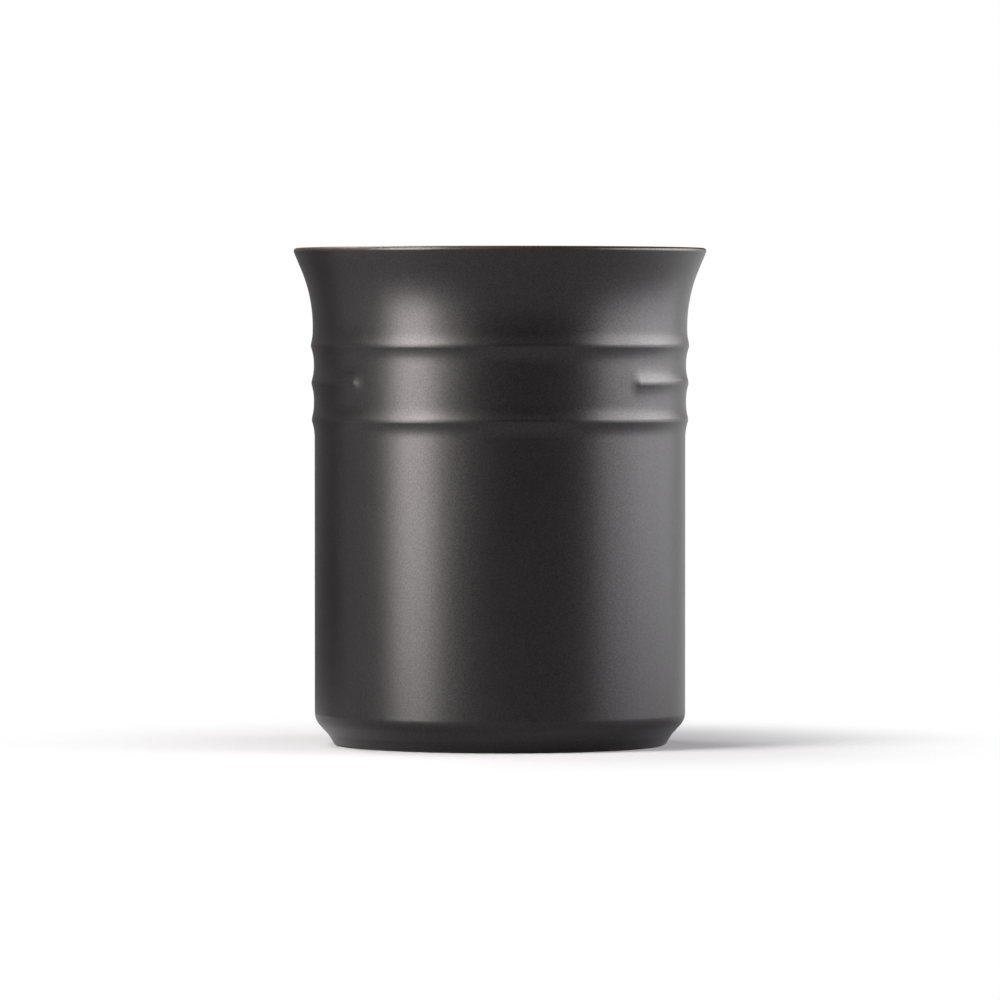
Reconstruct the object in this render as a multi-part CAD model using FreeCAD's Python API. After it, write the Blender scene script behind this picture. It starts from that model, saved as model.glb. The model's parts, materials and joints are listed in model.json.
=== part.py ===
"""Utensil crock: one fired stoneware pot with a flared mouth and three raised bands, under three coats of glaze.

Millimetres, +Z up. The origin is the centre of the foot, on the surface that the crock stands on.
The front, where the middle band stops either side of a plain field, faces -Y.
"""
import FreeCAD
import Part
import math
import os
from collections import namedtuple

# Overall sizes.
HEIGHT = 150.0
BODY_RADIUS = 56.0
WALL = 5.6                  # thickness of the straight wall, both coats of glaze counted
FLOOR = 7.5                 # thickness of the floor, both coats of glaze counted

# Mouth: the wall flares out to a rounded lip.
NECK_STEP = 0.58            # the neck under the flare stands this much outside the body
FLARE_REACH = 6.22          # how far the flare carries the outside past the neck
FLARE_DROP = 14.8           # from the rim down to the bend of the flare
FLARE_ROUND = 44.0
LIP_THICKNESS = 4.4         # measured level, at the rim
LIP_OUTER_ROUND = 0.95
LIP_INNER_ROUND = 2.4

# Raised bands, from the top one down.
BAND_COUNT = 3
BAND_DROP = 29.5            # from the rim down to the crest of the top band
BAND_PITCH = 11.18
BAND_RISE = 0.82            # height above the wall at which a band's flanks meet, before its crest is rounded
BAND_HALF_WIDTH = 3.25      # from the crest to where its flank meets the wall, before the cove is rounded
BAND_CREST_ROUND = 2.75
BAND_COVE_ROUND = 14.5
FIELD_STEP = 0.22           # the wall between the bands stands this much outside the body
BROKEN_BAND = 1             # the second band from the top stops at the plain field
FIELD_ANGLE = 98.0          # degrees of the front that the broken band leaves plain

# Foot: the wall turns in at a shoulder, and stands on a bare ring.
SHOULDER_HEIGHT = 7.6
SHOULDER_ROUND = 5.6
FOOT_BEND_INSET = 4.15      # from the body in to the bend above the foot
FOOT_BEND_HEIGHT = 3.1
FOOT_BEND_ROUND = 6.0
FOOT_INSET = 6.05           # from the body in to where the foot's face would meet the ground
FOOT_EDGE_ROUND = 0.3
FOOT_RING_WIDTH = 6.5
RECESS_DEPTH = 2.0          # from the ground up to the underside within the ring
RECESS_SLOPE_RUN = 2.0      # how far in the recess's side leans over its depth
RECESS_ROUND = 1.5

# Inside.
INNER_CORNER_ROUND = 9.0

# Glaze.
GLAZE = 0.5                 # thickness of each coat
GLAZE_LINE = 0.2            # height above the ground where the coats stop at the foot

AXIS = FreeCAD.Vector(0, 0, 1)
ACROSS = FreeCAD.Vector(1, 0, 0)
CENTRE = FreeCAD.Vector(0, 0, 0)
FRONT = -90.0               # direction of the plain field, in degrees round from +X
SMALLEST = 1e-6             # lengths below this count as nothing when an outline is drawn

# A corner of an outline in the half plane of radius and height, and the radius that rounds it.
Corner = namedtuple("Corner", "r z round", defaults=(0.0,))


# Drawing of outlines. The stoneware lies on the left of an outline as it is followed.

def point(corner):
    """Where a corner lies in the half plane of +X and Z."""
    return FreeCAD.Vector(corner.r, 0, corner.z)


def direction(start, end):
    """Unit step from one corner to the next, as (radius, height)."""
    length = math.hypot(end.r - start.r, end.z - start.z)
    return (end.r - start.r) / length, (end.z - start.z) / length


def half_turn(before, corner, after):
    """Tangent of half the angle that the outline turns by at a corner, positive for a turn to the left."""
    (ar, az), (br, bz) = direction(before, corner), direction(corner, after)
    return math.tan(math.atan2(ar * bz - az * br, ar * br + az * bz) / 2)


def at_height(start, end, z):
    """Radius where the straight line through two corners passes a height."""
    return start.r + (end.r - start.r) * (z - start.z) / (end.z - start.z)


def fitted(chain):
    """The chain with its roundings held to what the side between each two of them has room for."""
    turns = [abs(half_turn(*corners)) for corners in zip(chain, chain[1:], chain[2:])]
    reaches = [corner.round * turn for corner, turn in zip(chain, [0.0] + turns + [0.0])]
    shares = [1.0] * len(chain)
    for i, (start, end) in enumerate(zip(chain, chain[1:])):
        side = math.hypot(end.r - start.r, end.z - start.z)
        share = side / max(side, reaches[i] + reaches[i + 1])
        shares[i] = min(shares[i], share)
        shares[i + 1] = min(shares[i + 1], share)
    return [corner._replace(round=corner.round * share) for corner, share in zip(chain, shares)]


def inset(chain, depth):
    """The chain moved into the stoneware by a depth, with its roundings kept parallel."""
    chain = fitted(chain)
    moved = []
    for i, corner in enumerate(chain):
        inner = 0 < i < len(chain) - 1
        turn = half_turn(chain[i - 1], corner, chain[i + 1]) if inner else 0.0
        dr, dz = direction(chain[i - 1], corner) if i else direction(corner, chain[i + 1])
        moved.append(Corner(
            corner.r - depth * (dz + turn * dr),
            corner.z + depth * (dr - turn * dz),
            max(corner.round - math.copysign(depth, turn), 0.0) if corner.round else 0.0,
        ))
    return moved


def side_edges(start, end):
    """The straight edge between two points, or nothing where two roundings meet."""
    return [Part.makeLine(start, end)] if start.distanceToPoint(end) > SMALLEST else []


def chain_edges(chain):
    """Edges of an open outline: straight sides joined by tangent arcs."""
    chain = fitted(chain)
    edges = []
    at = point(chain[0])
    for before, corner, after in zip(chain, chain[1:], chain[2:]):
        turn = half_turn(before, corner, after)
        reach = corner.round * abs(turn)
        if reach < SMALLEST:
            edges += side_edges(at, point(corner))
            at = point(corner)
            continue
        (ar, az), (br, bz) = direction(before, corner), direction(corner, after)
        entry = point(Corner(corner.r - ar * reach, corner.z - az * reach))
        leave = point(Corner(corner.r + br * reach, corner.z + bz * reach))
        inward = ((entry + leave) * 0.5 - point(corner)).normalize()
        crown = point(corner) + inward * (corner.round * (math.hypot(1.0, turn) - 1.0))
        edges += side_edges(at, entry)
        edges.append(Part.Arc(entry, crown, leave).toShape())
        at = leave
    return edges + side_edges(at, point(chain[-1]))


def section(chain, closing):
    """The face between an outline and the straight sides that lead from its end back to its start."""
    back = [point(corner) for corner in (chain[-1], *closing, chain[0])]
    edges = chain_edges(chain) + Part.makePolygon(back).Edges
    return Part.Face(Part.Wire(Part.sortEdges(edges)[0]))


def coat_section(chain):
    """Section of a coat of glaze whose surface follows an outline."""
    under = inset(chain, GLAZE)
    ends = [Part.makeLine(point(chain[i]), point(under[i])) for i in (0, -1)]
    return Part.Face(Part.Wire(Part.sortEdges(chain_edges(chain) + chain_edges(under) + ends)[0]))


# Outlines of the glazed surface.

def field_radius():
    """Radius of the wall between the bands."""
    return BODY_RADIUS + FIELD_STEP


def mouth_radius():
    """Radius at which the flare's outside would meet the plane of the rim."""
    return BODY_RADIUS + NECK_STEP + FLARE_REACH


def lip_middle():
    """Where the outer and the inner coat meet, on top of the lip."""
    return Corner(mouth_radius() - LIP_THICKNESS / 2, HEIGHT)


def foot_face():
    """The foot's face: where it would meet the ground, and the bend above it."""
    return (
        Corner(BODY_RADIUS - FOOT_INSET, 0.0),
        Corner(BODY_RADIUS - FOOT_BEND_INSET, FOOT_BEND_HEIGHT, FOOT_BEND_ROUND),
    )


def band_corners(index, below, above):
    """The corners of one raised band, from its lower cove to its upper one, between two radii of wall."""
    z = HEIGHT - BAND_DROP - index * BAND_PITCH
    return [
        Corner(below, z - BAND_HALF_WIDTH, BAND_COVE_ROUND),
        Corner((below + above) / 2 + BAND_RISE, z, BAND_CREST_ROUND),
        Corner(above, z + BAND_HALF_WIDTH, BAND_COVE_ROUND),
    ]


def outer_outline(broken_band=True):
    """From the glaze line on the foot, up the outside, to the top of the lip."""
    ground, bend = foot_face()
    walls = [BODY_RADIUS + NECK_STEP] + [field_radius()] * (BAND_COUNT - 1) + [BODY_RADIUS]
    corners = [
        Corner(at_height(ground, bend, GLAZE_LINE), GLAZE_LINE),
        bend,
        Corner(BODY_RADIUS, SHOULDER_HEIGHT, SHOULDER_ROUND),
    ]
    for index in reversed(range(BAND_COUNT)):
        if broken_band or index != BROKEN_BAND:
            corners += band_corners(index, walls[index + 1], walls[index])
    corners += [
        Corner(BODY_RADIUS + NECK_STEP, HEIGHT - FLARE_DROP, FLARE_ROUND),
        Corner(mouth_radius(), HEIGHT, LIP_OUTER_ROUND),
        lip_middle(),
    ]
    return corners


def inner_outline():
    """From the top of the lip, down the inside, to the middle of the floor. The two flares are parallel."""
    inner = BODY_RADIUS - WALL
    mouth = mouth_radius() - LIP_THICKNESS
    floor_top = RECESS_DEPTH + FLOOR
    return [
        lip_middle(),
        Corner(mouth, HEIGHT, LIP_INNER_ROUND),
        Corner(inner, HEIGHT - FLARE_DROP * (mouth - inner) / FLARE_REACH, FLARE_ROUND),
        Corner(inner, floor_top, INNER_CORNER_ROUND),
        Corner(0.0, floor_top),
    ]


def recess_outline():
    """From the middle of the underside, out and down to the glaze line inside the foot ring."""
    ground = Corner(foot_face()[0].r - FOOT_RING_WIDTH, 0.0)
    top = Corner(ground.r - RECESS_SLOPE_RUN, RECESS_DEPTH, RECESS_ROUND)
    return [
        Corner(0.0, RECESS_DEPTH),
        top,
        Corner(at_height(ground, top, GLAZE_LINE), GLAZE_LINE),
    ]


def clay_section(broken_band=True):
    """Section of the fired clay, which lies a coat's thickness under the glaze and stands on a bare ring."""
    recess = inset(recess_outline(), GLAZE)
    outside = inset(outer_outline(broken_band), GLAZE)
    inside = inset(inner_outline(), GLAZE)
    bare_ring = [
        Corner(at_height(recess[-2], recess[-1], 0.0), 0.0, FOOT_EDGE_ROUND),
        Corner(at_height(outside[0], outside[1], 0.0), 0.0, FOOT_EDGE_ROUND),
    ]
    return section(recess[:-1] + bare_ring + outside[1:-1] + inside[1:], closing=[])


def band_end_section(depth):
    """Section of the broken band from its crest up, in from the glaze by a depth and rooted in the wall."""
    wall = field_radius()
    _, crest, upper = band_corners(BROKEN_BAND, wall, wall)
    flank = math.atan2(BAND_RISE, BAND_HALF_WIDTH)
    brow = Corner(crest.r - BAND_CREST_ROUND * (1 / math.cos(flank) - 1), crest.z)
    chain = inset([
        brow,
        Corner(brow.r, brow.z + BAND_CREST_ROUND * math.tan(flank / 2), BAND_CREST_ROUND),
        upper,
        Corner(wall, upper.z + BAND_COVE_ROUND * math.tan(flank / 2)),
    ], depth)
    root = wall - WALL / 2
    return section(chain, closing=[Corner(root, chain[-1].z), Corner(root, chain[0].z)])


# Solids.

def turned(face, start=0.0, sweep=360.0):
    """A section in the half plane, turned about the crock's axis from one direction through an angle."""
    placed = face.copy()
    placed.rotate(CENTRE, AXIS, start)
    return placed.revolve(CENTRE, AXIS, sweep)


def banded(whole_section, plain_section):
    """A turned wall whose broken band is left out across the plain field at the front."""
    behind = turned(whole_section, FRONT + FIELD_ANGLE / 2, 360.0 - FIELD_ANGLE)
    return behind.fuse(turned(plain_section, FRONT - FIELD_ANGLE / 2, FIELD_ANGLE))


def band_ends(depth):
    """The broken band's two rounded ends, standing on the fired clay's wall, in from the glaze by a depth."""
    crest = band_corners(BROKEN_BAND, field_radius(), field_radius())[1]
    wall = Part.makeCylinder(field_radius() - GLAZE, HEIGHT)
    ends = []
    for side in (-1, 1):
        end = band_end_section(depth).revolve(point(crest), ACROSS, side * 180.0)
        end.rotate(CENTRE, AXIS, FRONT + side * FIELD_ANGLE / 2)
        ends.append(end.cut(wall))
    return ends


def one_solid(shape):
    """The shape's single solid, with faces merged where they carry on across a joint."""
    clean = shape.removeSplitter()
    if len(clean.Solids) != 1 or not clean.isValid():
        raise ValueError(f"expected one sound solid, found {len(clean.Solids)}")
    return clean.Solids[0]


def stoneware_body():
    """The fired clay: wall, floor, foot ring, lip and the clay of the raised bands."""
    clay = banded(clay_section(), clay_section(broken_band=False))
    return one_solid(clay.multiFuse(band_ends(GLAZE)))


def outer_glaze():
    """The coat on the outside, from the top of the lip down to the glaze line on the foot."""
    coat = banded(coat_section(outer_outline()), coat_section(outer_outline(broken_band=False)))
    for clay_end, glazed_end in zip(band_ends(GLAZE), band_ends(0.0)):
        coat = coat.cut(clay_end).fuse(glazed_end.cut(clay_end))
    return one_solid(coat)


def inner_glaze():
    """The coat that lines the inside, from the top of the lip down over the floor."""
    return one_solid(turned(coat_section(inner_outline())))


def base_glaze():
    """The coat on the underside, within the bare foot ring."""
    return one_solid(turned(coat_section(recess_outline())))


def main():
    os.makedirs("parts", exist_ok=True)
    for piece in (stoneware_body, outer_glaze, inner_glaze, base_glaze):
        solid = piece()
        solid.exportStep(f"parts/{piece.__name__}.step")
        print(f"{piece.__name__}: {solid.Volume / 1000:.2f} cm3")


main()
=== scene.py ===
"""Utensil crock: its fired clay and its three coats of satin black glaze, on a plain studio stage.

Metres, +Z up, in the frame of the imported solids. The front of the crock, with its plain field, faces -Y.
"""
import json
import math
from collections import namedtuple

import bmesh
import bpy
from bpy.props import FloatProperty, FloatVectorProperty, IntProperty, PointerProperty
from bpy.types import NodeSocket, Operator, Panel, PropertyGroup, Scene
from mathutils import Matrix, Vector

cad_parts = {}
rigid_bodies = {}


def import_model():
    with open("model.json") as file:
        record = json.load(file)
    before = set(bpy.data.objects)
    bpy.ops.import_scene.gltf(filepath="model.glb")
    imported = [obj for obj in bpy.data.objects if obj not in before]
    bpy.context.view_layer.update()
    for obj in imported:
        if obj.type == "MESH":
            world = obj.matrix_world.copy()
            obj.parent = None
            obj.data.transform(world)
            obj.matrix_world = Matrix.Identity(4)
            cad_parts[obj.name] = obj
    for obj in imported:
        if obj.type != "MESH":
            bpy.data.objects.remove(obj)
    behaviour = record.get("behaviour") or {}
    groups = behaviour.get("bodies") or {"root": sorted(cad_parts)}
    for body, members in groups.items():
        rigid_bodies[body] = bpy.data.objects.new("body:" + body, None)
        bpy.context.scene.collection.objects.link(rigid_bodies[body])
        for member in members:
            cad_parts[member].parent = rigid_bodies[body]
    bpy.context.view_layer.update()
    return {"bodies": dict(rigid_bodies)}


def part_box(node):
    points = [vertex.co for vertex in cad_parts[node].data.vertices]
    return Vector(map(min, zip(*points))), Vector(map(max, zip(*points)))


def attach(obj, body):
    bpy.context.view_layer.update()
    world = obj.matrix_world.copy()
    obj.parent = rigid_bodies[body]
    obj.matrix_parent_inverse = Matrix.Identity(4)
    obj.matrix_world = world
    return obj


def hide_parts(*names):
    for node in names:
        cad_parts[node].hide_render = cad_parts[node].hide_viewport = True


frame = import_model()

bl_info = {
    "name": "Utensil Crock",
    "version": (1, 0, 0),
    "blender": (4, 5, 0),
    "location": "3D View > Sidebar > Crock",
    "description": "Builds a glazed stoneware utensil crock over its packed solids, and a studio stage",
    "category": "Add Mesh",
}

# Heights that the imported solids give.
CLAY_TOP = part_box("stoneware_body")[1].z
COAT_FOOT, COAT_TOP = (corner.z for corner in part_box("outer_glaze"))
LINER_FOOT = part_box("inner_glaze")[0].z
UNDERSIDE_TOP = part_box("base_glaze")[1].z
GLAZE_THICKNESS = COAT_TOP - CLAY_TOP

BODY = next(iter(frame["bodies"]))
AXIS = Vector((0.0, 0.0, 1.0))
SMALLEST = 1e-6                     # points closer than this are one point
FINE_FACET = math.radians(5.0)      # largest turn of a facet along an arc, on the outside of a coat
COARSE_FACET = math.radians(15.0)   # the same, on the clay and on the hidden side of a coat
ARC_STEP = 0.0012                   # longest step along an arc
RUN_GRAIN = 0.0005                  # a straight run this long is one step, and longer runs get longer ones
END_STEP = math.radians(0.25)       # step round the crock, across the rounded ends of the broken band
FINE_STEP = math.radians(1.6)       # step round the crock elsewhere, on the outer and the liner coat
COARSE_STEP = math.radians(3.2)     # the same, on the clay and the underside coat
SHARP_ANGLE = math.radians(50.0)    # an edge that turns more than this is shaded sharp


# Sizes, finishes and stage as a user would change them.

def length(name, description, default):
    """A length in metres."""
    return FloatProperty(
        name=name, description=description, default=default,
        min=0.0, precision=5, unit="LENGTH", subtype="DISTANCE",
    )


def colour(name, description, default):
    """A colour, as linear red, green and blue."""
    return FloatVectorProperty(
        name=name, description=description, default=default,
        min=0.0, max=1.0, size=3, subtype="COLOR",
    )


def share(name, description, default):
    """A number from nothing to all."""
    return FloatProperty(
        name=name, description=description, default=default, min=0.0, max=1.0, subtype="FACTOR",
    )


def brightness(name, description, default):
    """A brightness, where 1 is seen as white."""
    return FloatProperty(name=name, description=description, default=default, min=0.0)


class CrockShape(PropertyGroup):
    """Sizes of the crock over its glaze."""

    height: length("Height", "From the ground to the top of the lip", COAT_TOP)
    body_radius: length("Body radius", "Radius of the straight wall", 0.0560)
    wall: length("Wall", "Thickness of the straight wall, both coats counted", 0.0056)
    floor_height: length(
        "Floor height", "From the ground to the floor inside", LINER_FOOT + GLAZE_THICKNESS,
    )
    inner_corner_round: length("Inner corner", "Radius between the floor and the wall inside", 0.0090)
    neck_step: length("Neck step", "How far the neck stands outside the body", 0.00058)
    flare_reach: length("Flare reach", "How far the flare carries the outside past the neck", 0.00622)
    flare_drop: length("Flare drop", "From the rim down to the bend of the flare", 0.0148)
    flare_round: length("Flare round", "Radius of the bend of the flare", 0.0440)
    lip_thickness: length("Lip thickness", "Thickness of the lip, measured level", 0.0044)
    lip_outer_round: length("Lip outer round", "Radius of the lip's outer edge", 0.00095)
    lip_inner_round: length("Lip inner round", "Radius of the lip's inner edge", 0.0024)
    band_count: IntProperty(name="Bands", description="Number of raised bands", default=3, min=1, max=6)
    band_drop: length("Band drop", "From the rim down to the crest of the top band", 0.0295)
    band_pitch: length("Band pitch", "From the crest of one band to the next", 0.01118)
    band_rise: length("Band rise", "Height of a band's flanks where they would meet", 0.00082)
    band_half_width: length(
        "Band half width", "From a band's crest to where its flank meets the wall", 0.00325,
    )
    band_crest_round: length("Band crest", "Radius of a band's crest", 0.00275)
    band_cove_round: length("Band cove", "Radius of the hollow beside a band", 0.0145)
    field_step: length("Field step", "How far the wall between the bands stands outside the body", 0.00022)
    broken_band: IntProperty(
        name="Broken band", description="Band that stops at the plain field, counted from the top",
        default=2, min=1,
    )
    field_angle: FloatProperty(
        name="Field angle", description="Part of the front that the broken band leaves plain",
        default=math.radians(98.0), min=0.5, max=3.0, unit="ROTATION", subtype="ANGLE",
    )
    shoulder_height: length("Shoulder height", "Where the wall turns in above the foot", 0.0076)
    shoulder_round: length("Shoulder round", "Radius of the shoulder", 0.0056)
    foot_bend_inset: length("Foot bend inset", "From the body in to the bend above the foot", 0.00415)
    foot_bend_height: length("Foot bend height", "Height of the bend above the foot", 0.0031)
    foot_bend_round: length("Foot bend round", "Radius of the bend above the foot", 0.0060)
    foot_inset: length(
        "Foot inset", "From the body in to where the foot's face would meet the ground", 0.00605,
    )
    foot_edge_round: length("Foot edge", "Radius of the edges of the bare ring", 0.0003)
    foot_ring_width: length("Foot ring width", "Width of the ring that the crock stands on", 0.0065)
    recess_depth: length(
        "Recess depth", "From the ground up to the underside", UNDERSIDE_TOP - GLAZE_THICKNESS,
    )
    recess_slope_run: length("Recess slope", "How far in the recess's side leans over its depth", 0.0020)
    recess_round: length("Recess round", "Radius between the recess's side and the underside", 0.0015)
    glaze: length("Glaze", "Thickness of each coat of glaze", GLAZE_THICKNESS)
    glaze_line: length("Glaze line", "Height above the ground where the coats stop", COAT_FOOT)
    glaze_edge_round: length("Glaze edge", "Radius of the edge where a coat stops at the foot", 0.0003)


class CrockFinish(PropertyGroup):
    """Colours and surfaces of the crock."""

    glaze_colour: colour("Glaze", "Satin black of the glaze", (0.0023, 0.0017, 0.0021))
    thin_colour: colour(
        "Thin glaze", "Brown black where the glaze runs thin over the lip", (0.0240, 0.0115, 0.0075),
    )
    thin_reach: length("Thin reach", "How far below the rim the glaze runs thin", 0.0016)
    outer_thinness: share("Outer thinness", "How thin the glaze outside runs at the rim", 0.9)
    liner_thinness: share("Liner thinness", "How thin the glaze inside runs at the rim", 0.6)
    glaze_roughness: share("Glaze roughness", "Roughness of the glaze outside", 0.36)
    liner_roughness: share("Liner roughness", "Roughness of the glaze inside", 0.30)
    glaze_gloss: share("Glaze gloss", "Specular level of the glaze", 0.27)
    gloss_tint: colour("Gloss tint", "Tint of the gloss on the glaze", (1.0, 0.936, 0.965))
    grain_depth: length("Grain depth", "Depth of the fine grain of the glaze", 0.000015)
    clay_colour: colour("Fired clay", "Buff of the bare clay", (0.340, 0.253, 0.165))
    ring_edge_colour: colour(
        "Clay at the ring's edges", "Dark brown of the bare clay beside the glaze", (0.026, 0.014, 0.009),
    )
    ring_edge_width: length("Ring edge width", "How far from the glaze the bare clay is darker", 0.0011)
    speck_colour: colour("Iron specks", "Brown specks in the bare clay", (0.110, 0.062, 0.034))
    clay_roughness: share("Clay roughness", "Roughness of the bare clay", 0.85)
    clay_depth: length("Clay depth", "Depth of the bare clay's grain and grinding marks", 0.00006)


class CrockStage(PropertyGroup):
    """Camera, lamps and floor."""

    camera_distance: length("Camera distance", "From the crock's axis to the camera", 2.30)
    camera_height: length("Camera height", "Height of the camera above the floor", 0.123)
    aim_height: length("Aim height", "Height on the crock's axis that the camera looks at", 0.0739)
    camera_turn: FloatProperty(
        name="Camera turn", description="How far the camera stands to the right of the front",
        default=math.radians(1.5), unit="ROTATION", subtype="ANGLE",
    )
    focal_length: FloatProperty(
        name="Focal length", description="Camera lens, on a sensor 36 mm wide",
        default=274.0, min=1.0, unit="CAMERA",
    )
    floor_colour: colour("Floor", "Pale floor", (0.365, 0.36, 0.375))
    strip_strength: brightness("Strip", "Brightness of the strip on the left", 18.4)
    panel_strength: brightness("Panel", "Brightness of the broad panel on the right", 5.4)
    fill_strength: brightness("Fill", "Brightness of the dim panel above the camera", 0.9)
    dim_strength: brightness("Room", "Brightness of the room above the backdrop", 0.06)


# Outlines in the half plane of radius and height, with the stoneware on their left as they are followed.

Corner = namedtuple("Corner", "at rounding", defaults=(0.0,))


def corner(radius, height, rounding=0.0):
    """A corner of an outline, and the radius that rounds it."""
    return Corner(Vector((radius, 0.0, height)), rounding)


def heading(start, end):
    """Unit step from one corner towards the next."""
    return (end.at - start.at).normalized()


def left_of(step):
    """The direction to the left of a step."""
    return Vector((-step.z, 0.0, step.x))


def turn_between(step, following):
    """Angle from one step to the next, positive to the left."""
    return math.atan2(left_of(step).dot(following), step.dot(following))


def at_height(start, end, z):
    """The corner where the straight line through two corners passes a height."""
    return Corner(start.at.lerp(end.at, (z - start.at.z) / (end.at.z - start.at.z)))


def inset(outline, depth):
    """The outline moved into the stoneware by a depth, with its roundings kept parallel."""
    steps = [heading(start, end) for start, end in zip(outline, outline[1:])]
    moved = []
    for here, step, following in zip(outline, [steps[0], *steps], [*steps, steps[-1]]):
        turn = turn_between(step, following)
        shift = left_of(step) - step * math.tan(turn / 2)
        rounding = max(here.rounding - math.copysign(depth, turn), 0.0) if here.rounding else 0.0
        moved.append(Corner(here.at + shift * depth, rounding))
    return moved


def mouth_radius(shape):
    """Radius at which the flare's outside would meet the plane of the rim."""
    return shape.body_radius + shape.neck_step + shape.flare_reach


def lip_middle(shape):
    """Where the outer and the inner coat meet, on top of the lip."""
    return corner(mouth_radius(shape) - shape.lip_thickness / 2, shape.height)


def foot_face(shape):
    """The foot's face: where it would meet the ground, and the bend above it."""
    return (
        corner(shape.body_radius - shape.foot_inset, 0.0),
        corner(shape.body_radius - shape.foot_bend_inset, shape.foot_bend_height, shape.foot_bend_round),
    )


def crest_height(shape, index):
    """Height of a band's crest, counted from the top band."""
    return shape.height - shape.band_drop - index * shape.band_pitch


def outer_outline(shape):
    """From the glaze line on the foot, up the outside, to the top of the lip."""
    ground, bend = foot_face(shape)
    neck = shape.body_radius + shape.neck_step
    field = shape.body_radius + shape.field_step
    walls = [neck] + [field] * (shape.band_count - 1) + [shape.body_radius]
    outline = [
        at_height(ground, bend, shape.glaze_line),
        bend,
        corner(shape.body_radius, shape.shoulder_height, shape.shoulder_round),
    ]
    for index in reversed(range(shape.band_count)):
        below, above = walls[index + 1], walls[index]
        z = crest_height(shape, index)
        outline += [
            corner(below, z - shape.band_half_width, shape.band_cove_round),
            corner((below + above) / 2 + shape.band_rise, z, shape.band_crest_round),
            corner(above, z + shape.band_half_width, shape.band_cove_round),
        ]
    return outline + [
        corner(neck, shape.height - shape.flare_drop, shape.flare_round),
        corner(mouth_radius(shape), shape.height, shape.lip_outer_round),
        lip_middle(shape),
    ]


def inner_outline(shape):
    """From the top of the lip, down the inside, to the middle of the floor. The two flares are parallel."""
    inner = shape.body_radius - shape.wall
    mouth = mouth_radius(shape) - shape.lip_thickness
    bend = shape.height - shape.flare_drop * (mouth - inner) / shape.flare_reach
    return [
        lip_middle(shape),
        corner(mouth, shape.height, shape.lip_inner_round),
        corner(inner, bend, shape.flare_round),
        corner(inner, shape.floor_height, shape.inner_corner_round),
        corner(0.0, shape.floor_height),
    ]


def recess_outline(shape):
    """From the middle of the underside, out and down to the glaze line inside the foot ring."""
    ground = corner(foot_face(shape)[0].at.x - shape.foot_ring_width, 0.0)
    top = corner(ground.at.x - shape.recess_slope_run, shape.recess_depth, shape.recess_round)
    return [corner(0.0, shape.recess_depth), top, at_height(ground, top, shape.glaze_line)]


def bare_ring(shape):
    """The inner and the outer edge of the ring of bare clay that the crock stands on."""
    recess = inset(recess_outline(shape), shape.glaze)
    outside = inset(outer_outline(shape), shape.glaze)
    return [
        at_height(recess[-2], recess[-1], 0.0)._replace(rounding=shape.foot_edge_round),
        at_height(outside[0], outside[1], 0.0)._replace(rounding=shape.foot_edge_round),
    ]


def clay_outline(shape):
    """From the underside's middle, over the bare ring, the outside and the lip, to the floor's middle."""
    recess = inset(recess_outline(shape), shape.glaze)
    outside = inset(outer_outline(shape), shape.glaze)
    inside = inset(inner_outline(shape), shape.glaze)
    return [*recess[:-1], *bare_ring(shape), *outside[1:-1], *inside[1:]]


# Turning of outlines into closed shells.

def draw_run(shell, tip, end):
    """Carries a wire straight on from its tip to a point, and gives back the new tip."""
    way = end - tip.co
    if way.length < SMALLEST:
        return tip
    count = math.ceil(math.sqrt(way.length / RUN_GRAIN))
    for _ in range(count):
        tip = bmesh.ops.extrude_vert_indiv(shell, verts=[tip])["verts"][0]
        bmesh.ops.translate(shell, verts=[tip], vec=way / count)
    return tip


def draw_arc(shell, tip, centre, turn, facet):
    """Carries a wire on from its tip round a centre, and gives back the new tip."""
    arc = (tip.co - centre).length * abs(turn)
    made = bmesh.ops.spin(
        shell, geom=[tip], cent=centre, axis=(0.0, -1.0, 0.0), angle=turn,
        steps=max(2, math.ceil(abs(turn) / facet), math.ceil(arc / ARC_STEP)),
    )
    return made["geom_last"][0]


def draw_outline(shell, outline, facet):
    """Draws an outline as a wire of straight runs and the arcs that round its corners."""
    tip = bmesh.ops.create_vert(shell, co=outline[0].at)["vert"][0]
    for before, here, after in zip(outline, outline[1:], outline[2:]):
        step = heading(before, here)
        turn = turn_between(step, heading(here, after))
        tip = draw_run(shell, tip, here.at - step * here.rounding * abs(math.tan(turn / 2)))
        if here.rounding:
            centre = tip.co + left_of(step) * math.copysign(here.rounding, turn)
            tip = draw_arc(shell, tip, centre, turn, facet)
    draw_run(shell, tip, outline[-1].at)


def draw_coat(shell, outline, shape):
    """Draws the closed outline of a coat of glaze: its surface, its two ends and its hidden side."""
    under = inset(outline, shape.glaze)
    draw_outline(shell, [under[0], *outline, under[-1]], FINE_FACET)
    draw_outline(shell, under, COARSE_FACET)


def turn_round(shell, shape, step):
    """Turns the wires from the front half way round the axis, mirrors that half, and closes the shell."""
    end = band_reach(shape) / (shape.body_radius + shape.field_step)
    front = shape.field_angle / 2 - end
    back = math.pi - shape.field_angle / 2
    bmesh.ops.rotate(
        shell, verts=shell.verts[:], cent=(0.0, 0.0, 0.0), matrix=Matrix.Rotation(-math.pi / 2, 3, AXIS),
    )
    swept = shell.verts[:] + shell.edges[:]
    for angle, longest in ((front, step), (end, END_STEP), (back, step)):
        swept = bmesh.ops.spin(
            shell, geom=swept, cent=(0.0, 0.0, 0.0), axis=AXIS,
            angle=angle, steps=math.ceil(angle / longest),
        )["geom_last"]
    half = shell.verts[:] + shell.edges[:] + shell.faces[:]
    bmesh.ops.mirror(shell, geom=half, axis="X", merge_dist=SMALLEST)
    bmesh.ops.remove_doubles(shell, verts=shell.verts[:], dist=SMALLEST)
    loose = [edge for edge in shell.edges if not edge.link_faces]
    bmesh.ops.delete(shell, geom=loose, context="EDGES")
    bmesh.ops.recalc_face_normals(shell, faces=shell.faces[:])


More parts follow.
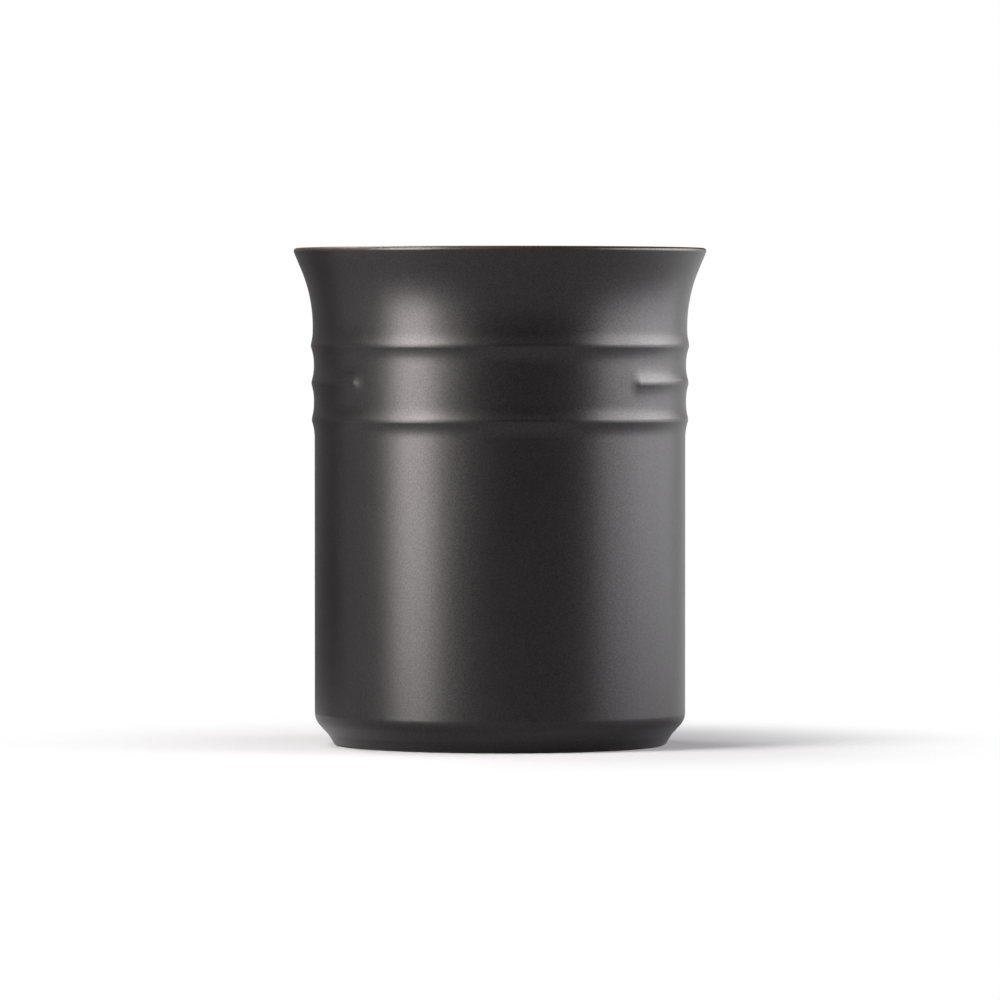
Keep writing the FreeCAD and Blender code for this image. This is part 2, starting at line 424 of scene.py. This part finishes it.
def band_slope(shape):
    """Slope of a band's flank, as an angle from the wall."""
    return math.atan2(shape.band_rise, shape.band_half_width)


def band_reach(shape):
    """How far from its crest a band blends into the wall."""
    return shape.band_half_width + shape.band_cove_round * math.tan(band_slope(shape) / 2)


def band_height(shape, away):
    """Height of a band over the wall, at a distance from its crest."""
    slope = band_slope(shape)
    if away < shape.band_crest_round * math.sin(slope):
        centre = shape.band_rise - shape.band_crest_round / math.cos(slope)
        return centre + math.sqrt(shape.band_crest_round ** 2 - away ** 2)
    left = max(band_reach(shape) - away, 0.0)
    if left < shape.band_cove_round * math.sin(slope):
        return shape.band_cove_round - math.sqrt(shape.band_cove_round ** 2 - left ** 2)
    return shape.band_rise - away * math.tan(slope)


def sink_broken_band(shell, shape):
    """Lets the broken band run out into the wall in a rounded end either side of the plain field."""
    wall = shape.body_radius + shape.field_step
    crest = crest_height(shape, shape.broken_band - 1)
    for vert in shell.verts:
        aside = vert.co.z - crest
        radius = vert.co.xy.length
        past_end = (shape.field_angle / 2 - abs(math.atan2(vert.co.x, -vert.co.y))) * wall
        if past_end > 0.0 and abs(aside) < band_reach(shape) and radius > wall - shape.wall / 2:
            drop = band_height(shape, abs(aside)) - band_height(shape, math.hypot(aside, past_end))
            vert.co.xy *= 1.0 - drop / radius


def finish_piece(shell, name, material, node):
    """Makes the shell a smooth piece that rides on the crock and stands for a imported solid."""
    mesh = bpy.data.meshes.new(name)
    shell.to_mesh(mesh)
    shell.free()
    mesh.shade_smooth()
    mesh.set_sharp_from_angle(angle=SHARP_ANGLE)
    mesh.materials.append(material)
    piece = bpy.data.objects.new(name, mesh)
    bpy.context.scene.collection.objects.link(piece)
    even = piece.modifiers.new("even_normals", "WEIGHTED_NORMAL")
    even.keep_sharp = True
    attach(piece, BODY)
    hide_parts(node)


# Materials.

# Clouds, ripples, grains, specks and rings to a metre.
GLAZE_CLOUDS = 55.0
GLAZE_RIPPLES = 420.0
GLAZE_GRAINS = 2200.0
CLAY_CLOUDS = 90.0
CLAY_GRIT = 2600.0
CLAY_SPECKS = 420.0
CLAY_RINGS = 3200.0

# How strongly they show, as they go from nothing to one.
GRAIN_IN_COLOUR = 0.8
GRAIN_IN_ROUGHNESS = 0.08
CLOUDS_IN_ROUGHNESS = 0.05
GRAIN_IN_GLOSS = 0.17
RIPPLE_IN_RELIEF = 0.15
GRIT_IN_ROUGHNESS = 0.15
RINGS_IN_RELIEF = 0.6
DARKER_CLAY = 0.72          # the darker clouds of the bare clay, as a part of its colour


def place(tree, kind, label, inputs=None, **settings):
    """Adds a node, and gives each input that is named a value or another node's output."""
    node = tree.nodes.new(kind)
    node.label = label
    for name, value in settings.items():
        setattr(node, name, value)
    for socket, value in (inputs or {}).items():
        if isinstance(value, NodeSocket):
            tree.links.new(value, node.inputs[socket])
        else:
            node.inputs[socket].default_value = value
    return node


def noise(tree, label, where, scale, detail):
    """A noise's value, from nothing to one, with about as many grains to a metre as its scale says."""
    node = place(tree, "ShaderNodeTexNoise", label, {"Vector": where, "Scale": scale, "Detail": detail})
    return node.outputs["Fac"]


def maths(tree, label, operation, *values):
    """What an operation makes of its values."""
    node = place(tree, "ShaderNodeMath", label, dict(enumerate(values)), operation=operation)
    return node.outputs[0]


def sum_of(tree, label, value, factor, addend):
    """A value times a factor, plus another value."""
    return maths(tree, label, "MULTIPLY_ADD", value, factor, addend)


def distance(tree, label, where):
    """How far a place is from the origin."""
    node = place(tree, "ShaderNodeVectorMath", label, {0: where}, operation="LENGTH")
    return node.outputs["Value"]


def ramp(tree, label, value, low, high, start=0.0, end=1.0):
    """A value carried smoothly from one range to another, and held at its ends."""
    node = place(
        tree, "ShaderNodeMapRange", label,
        {"Value": value, "From Min": low, "From Max": high, "To Min": start, "To Max": end},
        interpolation_type="SMOOTHSTEP",
    )
    return node.outputs["Result"]


def mix_colours(tree, label, factor, first, second):
    """One colour turning to another by a factor."""
    node = place(tree, "ShaderNodeMix", label, {0: factor, 6: first, 7: second}, data_type="RGBA")
    return node.outputs[2]


def glaze_group():
    """The surface that all coats of glaze share: clouds, thin places, a satin grain and a gentle ripple."""
    name = "satin_glaze"
    if name in bpy.data.node_groups:
        return bpy.data.node_groups[name]
    tree = bpy.data.node_groups.new(name, "ShaderNodeTree")
    for socket, kind in (
        ("Colour", "NodeSocketColor"),
        ("Thin Colour", "NodeSocketColor"),
        ("Thinness", "NodeSocketFloat"),
        ("Roughness", "NodeSocketFloat"),
    ):
        tree.interface.new_socket(name=socket, in_out="INPUT", socket_type=kind)
    for socket, kind in (
        ("Colour", "NodeSocketColor"),
        ("Roughness", "NodeSocketFloat"),
        ("Gloss", "NodeSocketFloat"),
        ("Height", "NodeSocketFloat"),
    ):
        tree.interface.new_socket(name=socket, in_out="OUTPUT", socket_type=kind)
    given = place(tree, "NodeGroupInput", "From the material").outputs
    where = place(tree, "ShaderNodeTexCoord", "Place on the crock").outputs["Object"]
    cloud = noise(tree, "Clouds", where, GLAZE_CLOUDS, 3.0)
    ripple = noise(tree, "Ripple", where, GLAZE_RIPPLES, 1.0)
    grain = noise(tree, "Satin grain", where, GLAZE_GRAINS, 2.0)
    broken = ramp(tree, "Broken edge of thin glaze", cloud, 0.30, 0.70, 0.35, 1.0)
    thin = maths(tree, "Thin glaze", "MULTIPLY", given["Thinness"], broken)
    shown = mix_colours(tree, "Glaze and thin glaze", thin, given["Colour"], given["Thin Colour"])
    strength = ramp(tree, "Cloud strength", cloud, 0.25, 0.75, 0.45, 0.75)
    value = sum_of(tree, "Grain in the colour", grain, GRAIN_IN_COLOUR, strength)
    paler = place(tree, "ShaderNodeHueSaturation", "Clouds of colour", {"Color": shown, "Value": value})
    rough = sum_of(tree, "Grain in the roughness", grain, GRAIN_IN_ROUGHNESS, given["Roughness"])
    rough = sum_of(tree, "Clouds in the roughness", cloud, CLOUDS_IN_ROUGHNESS, rough)
    middle = (GRAIN_IN_ROUGHNESS + CLOUDS_IN_ROUGHNESS) / 2
    place(tree, "NodeGroupOutput", "To the material", {
        "Colour": paler.outputs["Color"],
        "Roughness": maths(tree, "Middle of the roughness", "SUBTRACT", rough, middle),
        "Gloss": ramp(tree, "Glossier grains", grain, 0.35, 0.65, 0.0, GRAIN_IN_GLOSS),
        "Height": sum_of(tree, "Grain on the ripple", ripple, RIPPLE_IN_RELIEF, grain),
    })
    return tree


def new_material(name):
    """A material with only a Principled shader and its output, and that shader."""
    material = bpy.data.materials.new(name)
    material.use_nodes = True
    tree = material.node_tree
    tree.nodes.clear()
    shader = place(tree, "ShaderNodeBsdfPrincipled", "Surface")
    place(tree, "ShaderNodeOutputMaterial", "Output", {"Surface": shader.outputs[0]})
    return material, tree, shader


def bump(tree, shader, height, depth):
    """Gives a shader the normals of a surface that rises by a depth as the height goes from 0 to 1."""
    node = place(tree, "ShaderNodeBump", "Relief", {"Height": height, "Distance": depth})
    tree.links.new(node.outputs["Normal"], shader.inputs["Normal"])


def glaze_material(name, roughness, thin_edge):
    """A coat of satin black glaze, thinner over the lip where thin_edge is more than nothing."""
    finish = bpy.context.scene.crock_finish
    shape = bpy.context.scene.crock_shape
    material, tree, shader = new_material(name)
    where = place(tree, "ShaderNodeTexCoord", "Place on the crock").outputs["Object"]
    z = place(tree, "ShaderNodeSeparateXYZ", "Height on the crock", {"Vector": where}).outputs["Z"]
    surface = place(tree, "ShaderNodeGroup", "Satin glaze", node_tree=glaze_group())
    for socket, value in (
        ("Colour", (*finish.glaze_colour, 1.0)),
        ("Thin Colour", (*finish.thin_colour, 1.0)),
        ("Roughness", roughness),
    ):
        surface.inputs[socket].default_value = value
    thin_from = shape.height - finish.thin_reach
    rim = ramp(tree, "Thin over the lip", z, thin_from, shape.height, 0.0, thin_edge)
    tree.links.new(rim, surface.inputs["Thinness"])
    tree.links.new(surface.outputs["Colour"], shader.inputs["Base Color"])
    tree.links.new(surface.outputs["Roughness"], shader.inputs["Roughness"])
    tree.links.new(surface.outputs["Gloss"], shader.inputs["Coat Weight"])
    shader.inputs["Coat Roughness"].default_value = roughness
    shader.inputs["Specular IOR Level"].default_value = finish.glaze_gloss
    shader.inputs["Specular Tint"].default_value = (*finish.gloss_tint, 1.0)
    bump(tree, shader, surface.outputs["Height"], finish.grain_depth)
    return material


def clay_material():
    """Bare fired clay: buff with iron specks, darker brown at both edges of the ring beside the glaze, with
    grit and grinding rings.
    """
    finish = bpy.context.scene.crock_finish
    inner, outer = (edge.at.x for edge in bare_ring(bpy.context.scene.crock_shape))
    material, tree, shader = new_material("fired_clay")
    where = place(tree, "ShaderNodeTexCoord", "Place on the crock").outputs["Object"]
    cloud = noise(tree, "Clouds", where, CLAY_CLOUDS, 3.0)
    grit = noise(tree, "Grit", where, CLAY_GRIT, 2.0)
    specks = place(tree, "ShaderNodeTexVoronoi", "Specks", {"Vector": where, "Scale": CLAY_SPECKS})
    fleck = ramp(tree, "Size of the specks", specks.outputs["Distance"], 0.12, 0.26, 1.0, 0.0)
    flat = place(
        tree, "ShaderNodeVectorMath", "Level place", {0: where, 1: (1.0, 1.0, 0.0)}, operation="MULTIPLY",
    ).outputs[0]
    radius = distance(tree, "Radius", flat)
    rings = place(
        tree, "ShaderNodeTexNoise", "Grinding rings", {"W": radius, "Scale": CLAY_RINGS, "Detail": 2.0},
        noise_dimensions="1D",
    ).outputs["Fac"]
    dark = [DARKER_CLAY * part for part in finish.clay_colour]
    body = mix_colours(
        tree, "Paler and darker clay", ramp(tree, "Cloud edge", cloud, 0.3, 0.7),
        (*dark, 1.0), (*finish.clay_colour, 1.0),
    )
    speckled = mix_colours(tree, "Clay and specks", fleck, body, (*finish.speck_colour, 1.0))
    # Both edges of the bare ring, beside the glaze, are drawn a dark brown with an uneven edge.
    width = finish.ring_edge_width
    uneven = sum_of(tree, "Uneven edge of the darker band", cloud, width, radius)
    outside = ramp(tree, "Darker outer edge", uneven, outer - width, outer)
    inside = ramp(tree, "Darker inner edge", uneven, inner + width, inner + 2 * width, 1.0, 0.0)
    ring_edge = maths(tree, "Darker edges", "MAXIMUM", outside, inside)
    shown = mix_colours(tree, "Clay and its darker edges", ring_edge, speckled, (*finish.ring_edge_colour, 1.0))
    tree.links.new(shown, shader.inputs["Base Color"])
    smoothest = finish.clay_roughness - GRIT_IN_ROUGHNESS / 2
    rough = sum_of(tree, "Grit in the roughness", grit, GRIT_IN_ROUGHNESS, smoothest)
    tree.links.new(rough, shader.inputs["Roughness"])
    height = sum_of(tree, "Rings on the grit", rings, RINGS_IN_RELIEF, grit)
    bump(tree, shader, height, finish.clay_depth)
    return material


# Operators of the pieces.

class CROCK_OT_fired_clay(Operator):
    """Makes the fired clay under the glaze, which shows at the bare foot ring"""

    bl_idname = "crock.fired_clay"
    bl_label = "Fired Clay"

    def execute(self, context):
        shape = context.scene.crock_shape
        shell = bmesh.new()
        draw_outline(shell, clay_outline(shape), COARSE_FACET)
        turn_round(shell, shape, COARSE_STEP)
        sink_broken_band(shell, shape)
        finish_piece(shell, "fired_clay", clay_material(), "stoneware_body")
        return {"FINISHED"}


class CROCK_OT_outer_coat(Operator):
    """Makes the coat of glaze on the outside, with the raised bands, the plain field and the lip"""

    bl_idname = "crock.outer_coat"
    bl_label = "Outer Coat"

    def execute(self, context):
        shape = context.scene.crock_shape
        outline = outer_outline(shape)
        outline[0] = outline[0]._replace(rounding=shape.glaze_edge_round)
        finish = context.scene.crock_finish
        material = glaze_material("satin_black_glaze", finish.glaze_roughness, finish.outer_thinness)
        shell = bmesh.new()
        draw_coat(shell, outline, shape)
        turn_round(shell, shape, FINE_STEP)
        sink_broken_band(shell, shape)
        finish_piece(shell, "outer_coat", material, "outer_glaze")
        return {"FINISHED"}


class CROCK_OT_liner_coat(Operator):
    """Makes the coat of glaze that lines the inside"""

    bl_idname = "crock.liner_coat"
    bl_label = "Liner Coat"

    def execute(self, context):
        shape = context.scene.crock_shape
        finish = context.scene.crock_finish
        material = glaze_material("liner_glaze", finish.liner_roughness, finish.liner_thinness)
        shell = bmesh.new()
        draw_coat(shell, inner_outline(shape), shape)
        turn_round(shell, shape, FINE_STEP)
        finish_piece(shell, "liner_coat", material, "inner_glaze")
        return {"FINISHED"}


class CROCK_OT_underside_coat(Operator):
    """Makes the coat of glaze on the underside, within the bare foot ring"""

    bl_idname = "crock.underside_coat"
    bl_label = "Underside Coat"

    def execute(self, context):
        shape = context.scene.crock_shape
        outline = recess_outline(shape)
        outline[-1] = outline[-1]._replace(rounding=shape.glaze_edge_round)
        finish = context.scene.crock_finish
        material = glaze_material("underside_glaze", finish.glaze_roughness, thin_edge=0.0)
        shell = bmesh.new()
        draw_coat(shell, outline, shape)
        turn_round(shell, shape, COARSE_STEP)
        finish_piece(shell, "underside_coat", material, "base_glaze")
        return {"FINISHED"}


# Stage, in metres, and in degrees round the axis: 0 is on the camera's side, and 90 is on the right.

SWEEP_RADIUS = 8.0
SWEEP_SIDES = 96
SWEEP_FRONT = -1.05         # where the sweep is cut off on the camera's side
BACKDROP_HEIGHT = 0.65
FLOOR_GAP = 0.0001          # how far the floor lies below the crock
WHITE_FROM = 0.06           # distance from the axis where the floor starts to be seen as white
WHITE_BY = 0.17             # distance from the axis where it is seen as all white
FLAG_FRONT = -100.0
FLAG_BACK = -168.0
FLAG_STEPS = 12
FLAG_DISTANCE = 0.20
FLAG_HEIGHT = 0.20
FLAG_GREY = 0.12

WARM = (1.0, 0.99, 0.95)
NEUTRAL = (1.0, 0.99, 0.98)
COOL = (0.97, 0.975, 1.0)
WHITE = (1.0, 1.0, 1.0)

STRIP_TURN = -50.3
STRIP_HEAD = 0.27           # height where the brighter head of the strip starts
STRIP_TOP = 0.52            # height where the head of the strip ends
PANEL_TURN = 86.0
PANEL_HEAD = 0.195          # height where the brighter head of the panel starts
PANEL_TOP = 0.46

# A softbox has the brightness of a setting of the stage, times its part.
Softbox = namedtuple("Softbox", "name turn distance width bottom top setting part tint")
SOFTBOXES = (
    Softbox("strip_foot", STRIP_TURN, 0.50, 0.22, 0.0, STRIP_HEAD, "strip_strength", 1.03, WARM),
    Softbox("strip_head", STRIP_TURN, 0.50, 0.29, STRIP_HEAD, STRIP_TOP, "strip_strength", 1.7, WARM),
    Softbox("strip_top", STRIP_TURN, 0.50, 0.14, STRIP_TOP, 0.82, "strip_strength", 1.3, WARM),
    Softbox("strip_inner_wing", -27.0, 0.55, 0.16, 0.0, STRIP_TOP, "strip_strength", 0.08, WARM),
    Softbox("strip_outer_wing", -92.0, 0.50, 0.55, 0.28, STRIP_TOP, "strip_strength", 0.14, WARM),
    Softbox("panel_foot", PANEL_TURN, 0.60, 0.49, 0.0, PANEL_HEAD, "panel_strength", 0.94, COOL),
    Softbox("panel_wing", 119.0, 0.60, 0.23, 0.0, PANEL_HEAD, "panel_strength", 0.45, COOL),
    Softbox("panel_head", PANEL_TURN, 0.60, 0.53, PANEL_HEAD, PANEL_TOP, "panel_strength", 2.6, NEUTRAL),
    Softbox("panel_head_wing", 118.0, 0.64, 0.22, PANEL_HEAD, PANEL_TOP, "panel_strength", 1.55, NEUTRAL),
    Softbox("panel_head_end", 138.0, 0.70, 0.22, PANEL_HEAD, PANEL_TOP, "panel_strength", 0.5, NEUTRAL),
    Softbox("fill", 10.0, 1.20, 1.40, 0.60, 1.40, "fill_strength", 1.0, WHITE),
    Softbox("edge", -140.0, 0.45, 0.30, 0.50, 1.05, "strip_strength", 0.7, WARM),
)


def round_axis(turn, away, height):
    """A place beside the crock."""
    angle = math.radians(turn)
    return Vector((away * math.sin(angle), -away * math.cos(angle), height))


def make_softbox(box, strength):
    """An even upright lamp that faces the crock's axis."""
    height = box.top - box.bottom
    data = bpy.data.lights.new(box.name, "AREA")
    data.shape = "RECTANGLE"
    data.size = box.width
    data.size_y = height
    data.energy = strength * math.pi * box.width * height
    data.color = box.tint
    lamp = bpy.data.objects.new(box.name, data)
    lamp.location = round_axis(box.turn, box.distance, (box.bottom + box.top) / 2)
    lamp.rotation_euler = (math.pi / 2, 0.0, math.radians(box.turn))
    lamp.visible_camera = False
    bpy.context.scene.collection.objects.link(lamp)


def raise_edges(shell, height):
    """Raises an upright face on every edge of a shell."""
    raised = bmesh.ops.extrude_edge_only(shell, edges=shell.edges[:])["geom"]
    tops = [part for part in raised if isinstance(part, bmesh.types.BMVert)]
    bmesh.ops.translate(shell, verts=tops, vec=(0.0, 0.0, height))


def stage_piece(name, shell, material):
    """Makes a shell part of the stage, which isn't part of the crock."""
    mesh = bpy.data.meshes.new(name)
    shell.to_mesh(mesh)
    shell.free()
    mesh.materials.append(material)
    piece = bpy.data.objects.new(name, mesh)
    bpy.context.scene.collection.objects.link(piece)
    return piece


def matte_material(name, tint):
    """A material with no gloss and one even colour."""
    material, tree, shader = new_material(name)
    shader.inputs["Base Color"].default_value = (*tint, 1.0)
    shader.inputs["Roughness"].default_value = 1.0
    shader.inputs["Specular IOR Level"].default_value = 0.0
    return material, tree, shader


def seen_rays(tree):
    """One for a ray that shows the stage: straight to the camera, in gloss or through glass."""
    rays = place(tree, "ShaderNodeLightPath", "Kind of ray").outputs
    gloss = maths(tree, "Gloss or glass", "MAXIMUM", rays["Is Glossy Ray"], rays["Is Transmission Ray"])
    return maths(tree, "Camera, gloss or glass", "MAXIMUM", rays["Is Camera Ray"], gloss)


def sweep_material(tint):
    """Pale matte floor that keeps the crock's shadow, and is seen as an even white further off."""
    material, tree, shader = matte_material("studio_sweep", tint)
    where = place(tree, "ShaderNodeTexCoord", "Place on the sweep").outputs["Object"]
    further = ramp(tree, "Further off", distance(tree, "Distance", where), WHITE_FROM, WHITE_BY)
    far = maths(tree, "Seen further off", "MULTIPLY", further, seen_rays(tree))
    white = place(tree, "ShaderNodeEmission", "White", {"Strength": 1.0})
    both = place(tree, "ShaderNodeMixShader", "Floor and backdrop", {
        0: far, 1: shader.outputs[0], 2: white.outputs[0],
    })
    tree.links.new(both.outputs[0], tree.nodes["Material Output"].inputs["Surface"])
    return material


def make_sweep(stage):
    """A round floor with a low backdrop, cut off on the camera's side."""
    shell = bmesh.new()
    bmesh.ops.create_circle(shell, cap_ends=True, radius=SWEEP_RADIUS, segments=SWEEP_SIDES)
    bmesh.ops.translate(shell, verts=shell.verts[:], vec=(0.0, 0.0, -FLOOR_GAP))
    raise_edges(shell, BACKDROP_HEIGHT)
    bmesh.ops.bisect_plane(
        shell, geom=shell.verts[:] + shell.edges[:] + shell.faces[:],
        plane_co=(0.0, SWEEP_FRONT, 0.0), plane_no=(0.0, -1.0, 0.0), clear_outer=True,
    )
    stage_piece("sweep", shell, sweep_material(stage.floor_colour))


def make_flag():
    """A curved grey card behind on the left, which shows only in the gloss."""
    shell = bmesh.new()
    foot = bmesh.ops.create_vert(shell, co=round_axis(FLAG_FRONT, FLAG_DISTANCE, 0.0))["vert"]
    bmesh.ops.spin(
        shell, geom=foot, cent=(0.0, 0.0, 0.0), axis=AXIS,
        angle=math.radians(FLAG_BACK - FLAG_FRONT), steps=FLAG_STEPS,
    )
    raise_edges(shell, FLAG_HEIGHT)
    flag = stage_piece("flag", shell, matte_material("flag_cloth", [FLAG_GREY] * 3)[0])
    flag.visible_camera = False
    flag.visible_shadow = False
    flag.visible_diffuse = False


def make_room(scene, stage):
    """An even dim light from all round."""
    world = bpy.data.worlds.new("room")
    world.use_nodes = True
    room = world.node_tree.nodes["Background"]
    room.inputs["Color"].default_value = (*WHITE, 1.0)
    room.inputs["Strength"].default_value = stage.dim_strength
    scene.world = world


def make_camera(scene, stage):
    """The camera, which looks at the crock's axis."""
    camera = bpy.data.objects.new("camera", bpy.data.cameras.new("camera"))
    camera.data.lens = stage.focal_length
    camera.location = (
        stage.camera_distance * math.sin(stage.camera_turn),
        -stage.camera_distance * math.cos(stage.camera_turn),
        stage.camera_height,
    )
    aim = Vector((0.0, 0.0, stage.aim_height))
    camera.rotation_euler = (aim - camera.location).to_track_quat("-Z", "Y").to_euler()
    scene.collection.objects.link(camera)
    scene.camera = camera


class CROCK_OT_stage(Operator):
    """Makes the floor, the backdrop, the flag, the lamps and the camera"""

    bl_idname = "crock.stage"
    bl_label = "Stage"

    def execute(self, context):
        scene = context.scene
        stage = scene.crock_stage
        scene.view_settings.view_transform = "Standard"
        make_sweep(stage)
        make_flag()
        make_room(scene, stage)
        for box in SOFTBOXES:
            make_softbox(box, box.part * getattr(stage, box.setting))
        make_camera(scene, stage)
        return {"FINISHED"}


# Sidebar.

class CROCK_PT_sidebar(Panel):
    """Lists the crock's pieces, sizes and finishes"""

    bl_idname = "CROCK_PT_sidebar"
    bl_label = "Utensil Crock"
    bl_space_type = "VIEW_3D"
    bl_region_type = "UI"
    bl_category = "Crock"

    def draw(self, context):
        for operator in OPERATORS:
            self.layout.operator(operator.bl_idname)
        for group in (context.scene.crock_shape, context.scene.crock_finish, context.scene.crock_stage):
            box = self.layout.box()
            for name in group.__annotations__:
                box.prop(group, name)


OPERATORS = (
    CROCK_OT_fired_clay,
    CROCK_OT_outer_coat,
    CROCK_OT_liner_coat,
    CROCK_OT_underside_coat,
    CROCK_OT_stage,
)
CLASSES = (CrockShape, CrockFinish, CrockStage, *OPERATORS, CROCK_PT_sidebar)


def register():
    """Registers the classes and gives every scene the crock's settings."""
    for one in CLASSES:
        bpy.utils.register_class(one)
    Scene.crock_shape = PointerProperty(type=CrockShape)
    Scene.crock_finish = PointerProperty(type=CrockFinish)
    Scene.crock_stage = PointerProperty(type=CrockStage)


def unregister():
    """Takes the settings and the classes away again."""
    del Scene.crock_stage
    del Scene.crock_finish
    del Scene.crock_shape
    for one in reversed(CLASSES):
        bpy.utils.unregister_class(one)


def main():
    """Builds the crock and its stage."""
    register()
    bpy.ops.crock.fired_clay()
    bpy.ops.crock.outer_coat()
    bpy.ops.crock.liner_coat()
    bpy.ops.crock.underside_coat()
    bpy.ops.crock.stage()


if __name__ == "__main__":
    main()
